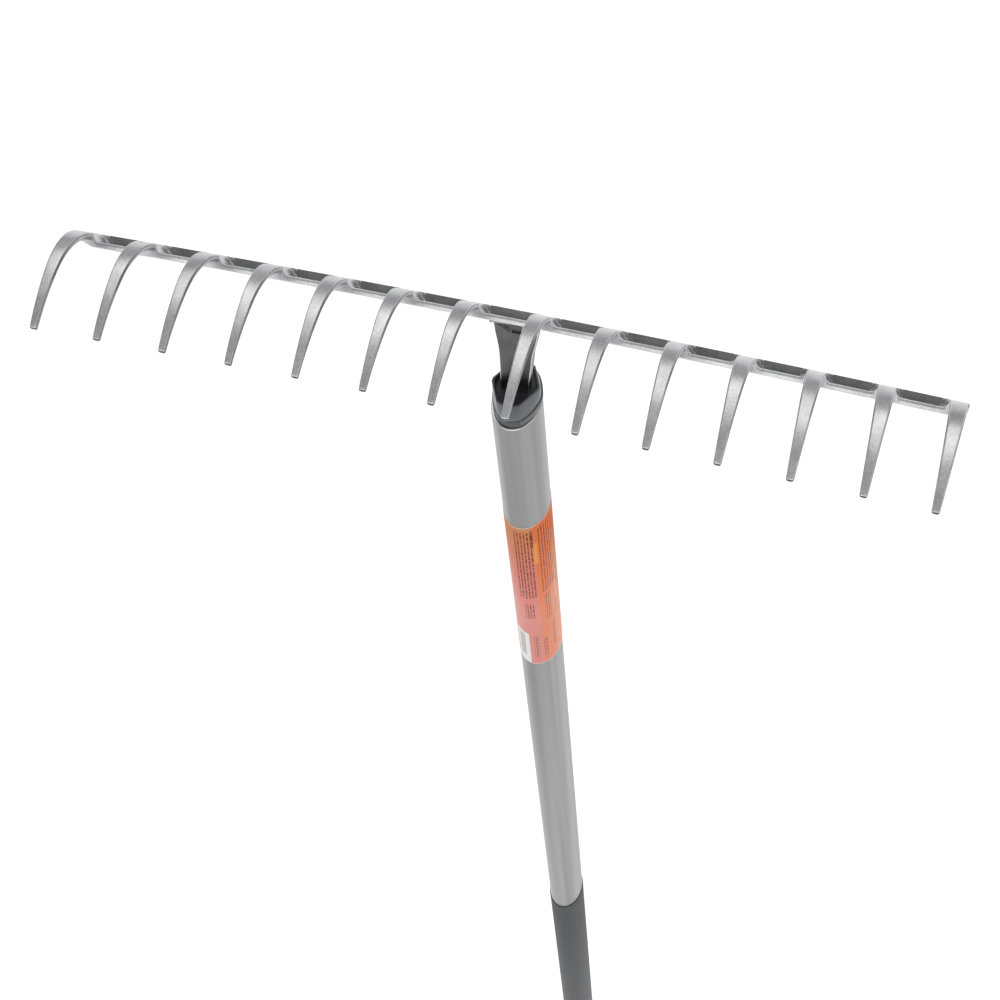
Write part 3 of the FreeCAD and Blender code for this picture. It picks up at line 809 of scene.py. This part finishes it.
def printed_film():
    """Vinyl film, printed and laminated: saturated flat colours under a smooth satin coat."""
    tint = colours()
    material, tree = new_material("vinyl_film_printed_laminated")
    print_map = add(tree, "ShaderNodeUVMap", uv_map="print")
    parts = add(tree, "ShaderNodeSeparateXYZ", {"Vector": print_map})
    u, v = parts.outputs["X"], parts.outputs["Y"]

    def block(middle_u, middle_v, half_u, half_v):
        """Mask of one rectangle of the print."""
        across = add(tree, "ShaderNodeMath", {0: u, 1: middle_u * MM, 2: half_u * MM},
                     operation="COMPARE")
        along = add(tree, "ShaderNodeMath", {0: v, 1: middle_v * MM, 2: half_v * MM},
                    operation="COMPARE")
        return joined("MULTIPLY", [across, along])

    def lines(source, pitch, share):
        """Mask of even lines that take up a share of their pitch."""
        turns = add(tree, "ShaderNodeMath", {0: source, 1: per_mm(pitch)}, operation="MULTIPLY")
        part = add(tree, "ShaderNodeMath", {0: turns}, operation="FRACT")
        return add(tree, "ShaderNodeMath", {0: part, 1: share}, operation="LESS_THAN")

    def words(pitch):
        """Mask of word-like runs along the lines of a pitch."""
        turns = add(tree, "ShaderNodeMath", {0: u, 1: per_mm(pitch)}, operation="MULTIPLY")
        row = add(tree, "ShaderNodeMath", {0: turns}, operation="FLOOR")
        run = add(tree, "ShaderNodeMath", {0: v, 1: per_mm(WORD_LENGTH)}, operation="MULTIPLY")
        cell = add(tree, "ShaderNodeCombineXYZ", {"X": run, "Y": row})
        noise = add(tree, "ShaderNodeTexNoise", {"Vector": cell, "Scale": 1.0, "Detail": 1.0})
        return add(tree, "ShaderNodeMath", {0: noise, 1: WORD_GAPS}, operation="GREATER_THAN")

    def joined(operation, masks):
        """One mask from several: MULTIPLY keeps what all of them hold, MAXIMUM what any does."""
        result = masks[0]
        for mask in masks[1:]:
            result = add(tree, "ShaderNodeMath", {0: result, 1: mask}, operation=operation)
        return result

    ink = joined("MAXIMUM", [joined("MULTIPLY", [block(*area), lines(u, pitch, share), words(pitch)])
                             for *area, pitch, share in LABEL_TEXT])
    bars = joined("MULTIPLY", [block(*LABEL_BARS), lines(v, BARS_PITCH, BARS_SHARE)])
    patch = joined("MAXIMUM", [block(*area) for area in LABEL_YELLOW])
    pink = add(tree, "ShaderNodeMath", {0: u, 1: LABEL_PINK_EDGE * MM}, operation="LESS_THAN")
    rise = add(tree, "ShaderNodeMapRange", {"Value": v, "From Min": LABEL_BROWN[0] * MM,
                                            "From Max": LABEL_BROWN[1] * MM})
    column = add(tree, "ShaderNodeMix", {"Factor": rise, "A": tint.label_pink[:],
                                         "B": tint.label_brown[:]}, data_type="RGBA")
    colour = tint.label[:]
    for mask, paint in ((pink, column.outputs["Result"]), (patch, tint.label_yellow[:]),
                        (ink, tint.label_ink[:]), (block(*LABEL_WHITE), linear(WHITE_COLOUR)),
                        (bars, linear(BARS_COLOUR))):
        colour = add(tree, "ShaderNodeMix", {"Factor": mask, "A": colour, "B": paint},
                     data_type="RGBA").outputs["Result"]
    half_height = (LABEL_HIGH[2] - LABEL_LOW[2]) / 2
    inside = add(tree, "ShaderNodeMath", {0: v, 1: half_height, 2: half_height - LABEL_BORDER * MM},
                 operation="COMPARE")
    colour = add(tree, "ShaderNodeMix", {"Factor": inside, "A": linear(BORDER_COLOUR), "B": colour},
                 data_type="RGBA").outputs["Result"]
    spot = add(tree, "ShaderNodeTexCoord").outputs["Object"]
    ripple = add(tree, "ShaderNodeTexNoise", {"Vector": spot, "Scale": per_mm(FILM_RIPPLE),
                                              "Detail": 2.0})
    gloss = add(tree, "ShaderNodeMapRange", {"Value": ripple, "To Min": 0.28, "To Max": 0.42})
    bump = add(tree, "ShaderNodeBump", {"Height": ripple, "Distance": 0.05 * MM, "Strength": 0.3})
    surface(tree, {"Base Color": colour, "IOR": 1.48, "Specular IOR Level": 0.25, "Roughness": gloss,
                   "Normal": bump})
    return material


class RAKE_OT_label(bpy.types.Operator):
    """Printed film label wrapped round the front of the tube"""
    bl_idname = "rake.label"
    bl_label = "Label"

    def execute(self, context):
        film = printed_film()
        low, high = LABEL_LOW[2], LABEL_HIGH[2]
        up = Vector((0.0, 0.0, 1.0))
        rings, arcs = [], []
        for inner, outer, arc in wrap_strip(LABEL_HIGH[0] - TUBE_HIGH[0], LABEL_HALF_TURN):
            lip = outer + (inner - outer) * LABEL_LIP
            rings.append([inner + up * low, lip + up * low, outer + up * (low + LABEL_ROUNDING),
                          outer + up * (high - LABEL_ROUNDING), lip + up * high, inner + up * high])
            arcs.append(arc)
        piece = new_piece("label_film", *loft(rings), [film], "label_film", "product_label", sharp=50)
        layer = piece.data.uv_layers.new(name="print")
        count = len(rings[0])
        for loop in piece.data.loops:
            point = piece.data.vertices[loop.vertex_index].co
            layer.data[loop.index].uv = (arcs[loop.vertex_index // count], point.z - low)
        return {"FINISHED"}


SLEEVE_ROUNDING = 0.35 * MM   # on the outer edges of the sleeve's ends


class RAKE_OT_sleeve(bpy.types.Operator):
    """Soft grip sleeve drawn over the upper-hand part of the tube"""
    bl_idname = "rake.sleeve"
    bl_label = "Grip sleeve"

    def execute(self, context):
        # Extruded elastomer is nearly black and matt, with only a broad, faint highlight.
        soft = moulded_plastic("elastomer_extruded_matt", colours().sleeve[:], grain=0.35,
                               depth=0.05, rough_low=0.42, rough_high=0.6)
        a, b = TUBE_HIGH[0], TUBE_HIGH[1]
        skin = SLEEVE_HIGH[0] - a
        low, high = SLEEVE_LOW[2], SLEEVE_HIGH[2]
        edge, bulge = SLEEVE_ROUNDING, SLEEVE_ROUNDING / 3
        profile = ((0.0, low), (skin - edge, low), (skin, low + edge), (skin, (low + high) / 2),
                   (skin, high - edge), (skin - bulge, high - bulge), (skin - edge, high), (0.0, high))
        rings = [oval_ring(a + grow, b + grow, z) for grow, z in profile]
        new_piece("grip_sleeve_skin", *loft(rings, endless=True), [soft], "sleeve_plastic",
                  "grip_sleeve", sharp=40)
        return {"FINISHED"}


class RAKE_OT_fittings(bpy.types.Operator):
    """End cap, tang insert and the two screws, kept from the frame with their finishes"""
    bl_idname = "rake.fittings"
    bl_label = "Cap, insert and screws"

    def execute(self, context):
        # Polypropylene from an eroded mould is near-black with a broken, dull sheen.
        cap = moulded_plastic("polypropylene_moulded_eroded", colours().cap[:], grain=0.6,
                              depth=0.03, rough_low=0.38, rough_high=0.58)
        insert = moulded_plastic("polyamide_moulded_insert", linear(INSERT_COLOUR), grain=0.6,
                                 depth=0.02, rough_low=0.4, rough_high=0.55)
        zinc = zinc_steel()
        finishes = {"end_cap": cap, "tang_insert": insert, "head_screw": zinc, "end_cap_screw": zinc}
        for node, material in finishes.items():
            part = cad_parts[node]
            for slot in part.material_slots:
                slot.material = material
        return {"FINISHED"}


# ---- stage ---------------------------------------------------------------------------
CAMERA_AIM = Vector((-0.0156, 0.0, 1.4299))
CAMERA_DISTANCE = 1.1136
CAMERA_AZIMUTH = math.radians(21.72)
CAMERA_ELEVATION = math.radians(60.73)
CAMERA_ROLL = math.radians(-7.19)
CAMERA_LENS = 73.47
SENSOR = 36.0
FLOOR_RADIUS = 25.0
FLOOR_POINTS = 96
FLOOR_LEVEL = -0.0006         # just below the butt face of the handle
FLOOR_COLOUR, FLOOR_GLOW_COLOUR = "#F4F4F4", "#FFFFFF"
FLOOR_GLOW = 0.62
STUDIO_GREY = "#A4A4A4"
HEAD_CENTRE = Vector((0.0, 0.0, 1.6))
# Softboxes: name, azimuth and elevation in degrees, distance, width and height in metres, radiance.
SOFTBOXES = (
    ("softbox_back", 0, 57, 2.6, 3.4, 2.0, 1.12),
    ("softbox_front", 180, 45, 2.6, 3.6, 0.95, 2.0),
    ("softbox_right", 100, 20, 3.0, 1.0, 2.2, 0.6),
)


def aimed(location, target):
    """Matrix at a location whose -Z axis points at a target."""
    turn = (target - location).to_track_quat("-Z", "Y")
    return Matrix.Translation(location) @ turn.to_matrix().to_4x4()


def softbox(name, azimuth, elevation, distance, width, height, radiance):
    """Area light round the head; azimuth 0 is behind it, along +Y, and 90 is along +X."""
    az, el = math.radians(azimuth), math.radians(elevation)
    away = Vector((math.sin(az) * math.cos(el), math.cos(az) * math.cos(el), math.sin(el)))
    data = bpy.data.lights.new(name, "AREA")
    data.shape = "RECTANGLE"
    data.size = width
    data.size_y = height
    data.energy = radiance * math.pi * width * height
    light = bpy.data.objects.new(name, data)
    bpy.context.scene.collection.objects.link(light)
    light.matrix_world = aimed(HEAD_CENTRE + away * distance, HEAD_CENTRE)
    light.visible_camera = False


class RAKE_OT_stage(bpy.types.Operator):
    """Pale floor, studio softboxes and the camera"""
    bl_idname = "rake.stage"
    bl_label = "Stage"

    def execute(self, context):
        scene = context.scene
        scene.view_settings.view_transform = "Standard"
        verts = oval_ring(FLOOR_RADIUS, FLOOR_RADIUS, FLOOR_LEVEL, FLOOR_POINTS)
        mesh = bpy.data.meshes.new("floor")
        mesh.from_pydata(verts, [], [tuple(range(FLOOR_POINTS))])
        floor = bpy.data.objects.new("floor", mesh)
        scene.collection.objects.link(floor)
        # Matt background paper, lifted to an even white by a little light of its own.
        paper, tree = new_material("paper_white_matt")
        surface(tree, {"Base Color": linear(FLOOR_COLOUR), "Roughness": 0.9,
                       "Emission Color": linear(FLOOR_GLOW_COLOUR), "Emission Strength": FLOOR_GLOW})
        mesh.materials.append(paper)
        for settings in SOFTBOXES:
            softbox(*settings)
        world = bpy.data.worlds.new("studio")
        world.use_nodes = True
        background = world.node_tree.nodes["Background"]
        background.inputs["Color"].default_value = linear(STUDIO_GREY)
        background.inputs["Strength"].default_value = 1.0
        scene.world = world
        data = bpy.data.cameras.new("camera")
        data.lens = CAMERA_LENS
        data.sensor_width = SENSOR
        data.clip_start, data.clip_end = 0.05, 60.0
        camera = bpy.data.objects.new("camera", data)
        scene.collection.objects.link(camera)
        flat = math.cos(CAMERA_ELEVATION)
        forward = Vector((-math.sin(CAMERA_AZIMUTH) * flat, math.cos(CAMERA_AZIMUTH) * flat,
                          -math.sin(CAMERA_ELEVATION)))
        level = Vector((math.cos(CAMERA_AZIMUTH), math.sin(CAMERA_AZIMUTH), 0.0))
        upright = level.cross(forward)
        right = level * math.cos(CAMERA_ROLL) + upright * math.sin(CAMERA_ROLL)
        up = upright * math.cos(CAMERA_ROLL) - level * math.sin(CAMERA_ROLL)
        turn = Matrix((right, up, -forward)).transposed().to_4x4()
        camera.matrix_world = Matrix.Translation(CAMERA_AIM - forward * CAMERA_DISTANCE) @ turn
        scene.camera = camera
        return {"FINISHED"}


class RAKE_PT_panel(bpy.types.Panel):
    """Sidebar list of the rake's settings and pieces"""
    bl_idname = "RAKE_PT_panel"
    bl_label = "Garden rake"
    bl_space_type = "VIEW_3D"
    bl_region_type = "UI"
    bl_category = "Rake"

    def draw(self, context):
        layout = self.layout
        for group in (context.scene.rake_sizes, context.scene.rake_colours):
            box = layout.box()
            for name in group.__annotations__:
                box.prop(group, name)
        for step in PIECE_OPERATORS:
            layout.operator(step.bl_idname)


PIECE_OPERATORS = (RAKE_OT_casting, RAKE_OT_collar, RAKE_OT_tube, RAKE_OT_label, RAKE_OT_sleeve,
                   RAKE_OT_fittings, RAKE_OT_stage)
CLASSES = (RakeSizes, RakeColours, *PIECE_OPERATORS, RAKE_PT_panel)


def register():
    for item in CLASSES:
        bpy.utils.register_class(item)
    bpy.types.Scene.rake_sizes = bpy.props.PointerProperty(type=RakeSizes)
    bpy.types.Scene.rake_colours = bpy.props.PointerProperty(type=RakeColours)


def unregister():
    del bpy.types.Scene.rake_sizes
    del bpy.types.Scene.rake_colours
    for item in reversed(CLASSES):
        bpy.utils.unregister_class(item)


def main():
    register()
    bpy.ops.rake.casting()
    bpy.ops.rake.collar()
    bpy.ops.rake.tube()
    bpy.ops.rake.label()
    bpy.ops.rake.sleeve()
    bpy.ops.rake.fittings()
    bpy.ops.rake.stage()


if __name__ == "__main__":
    main()
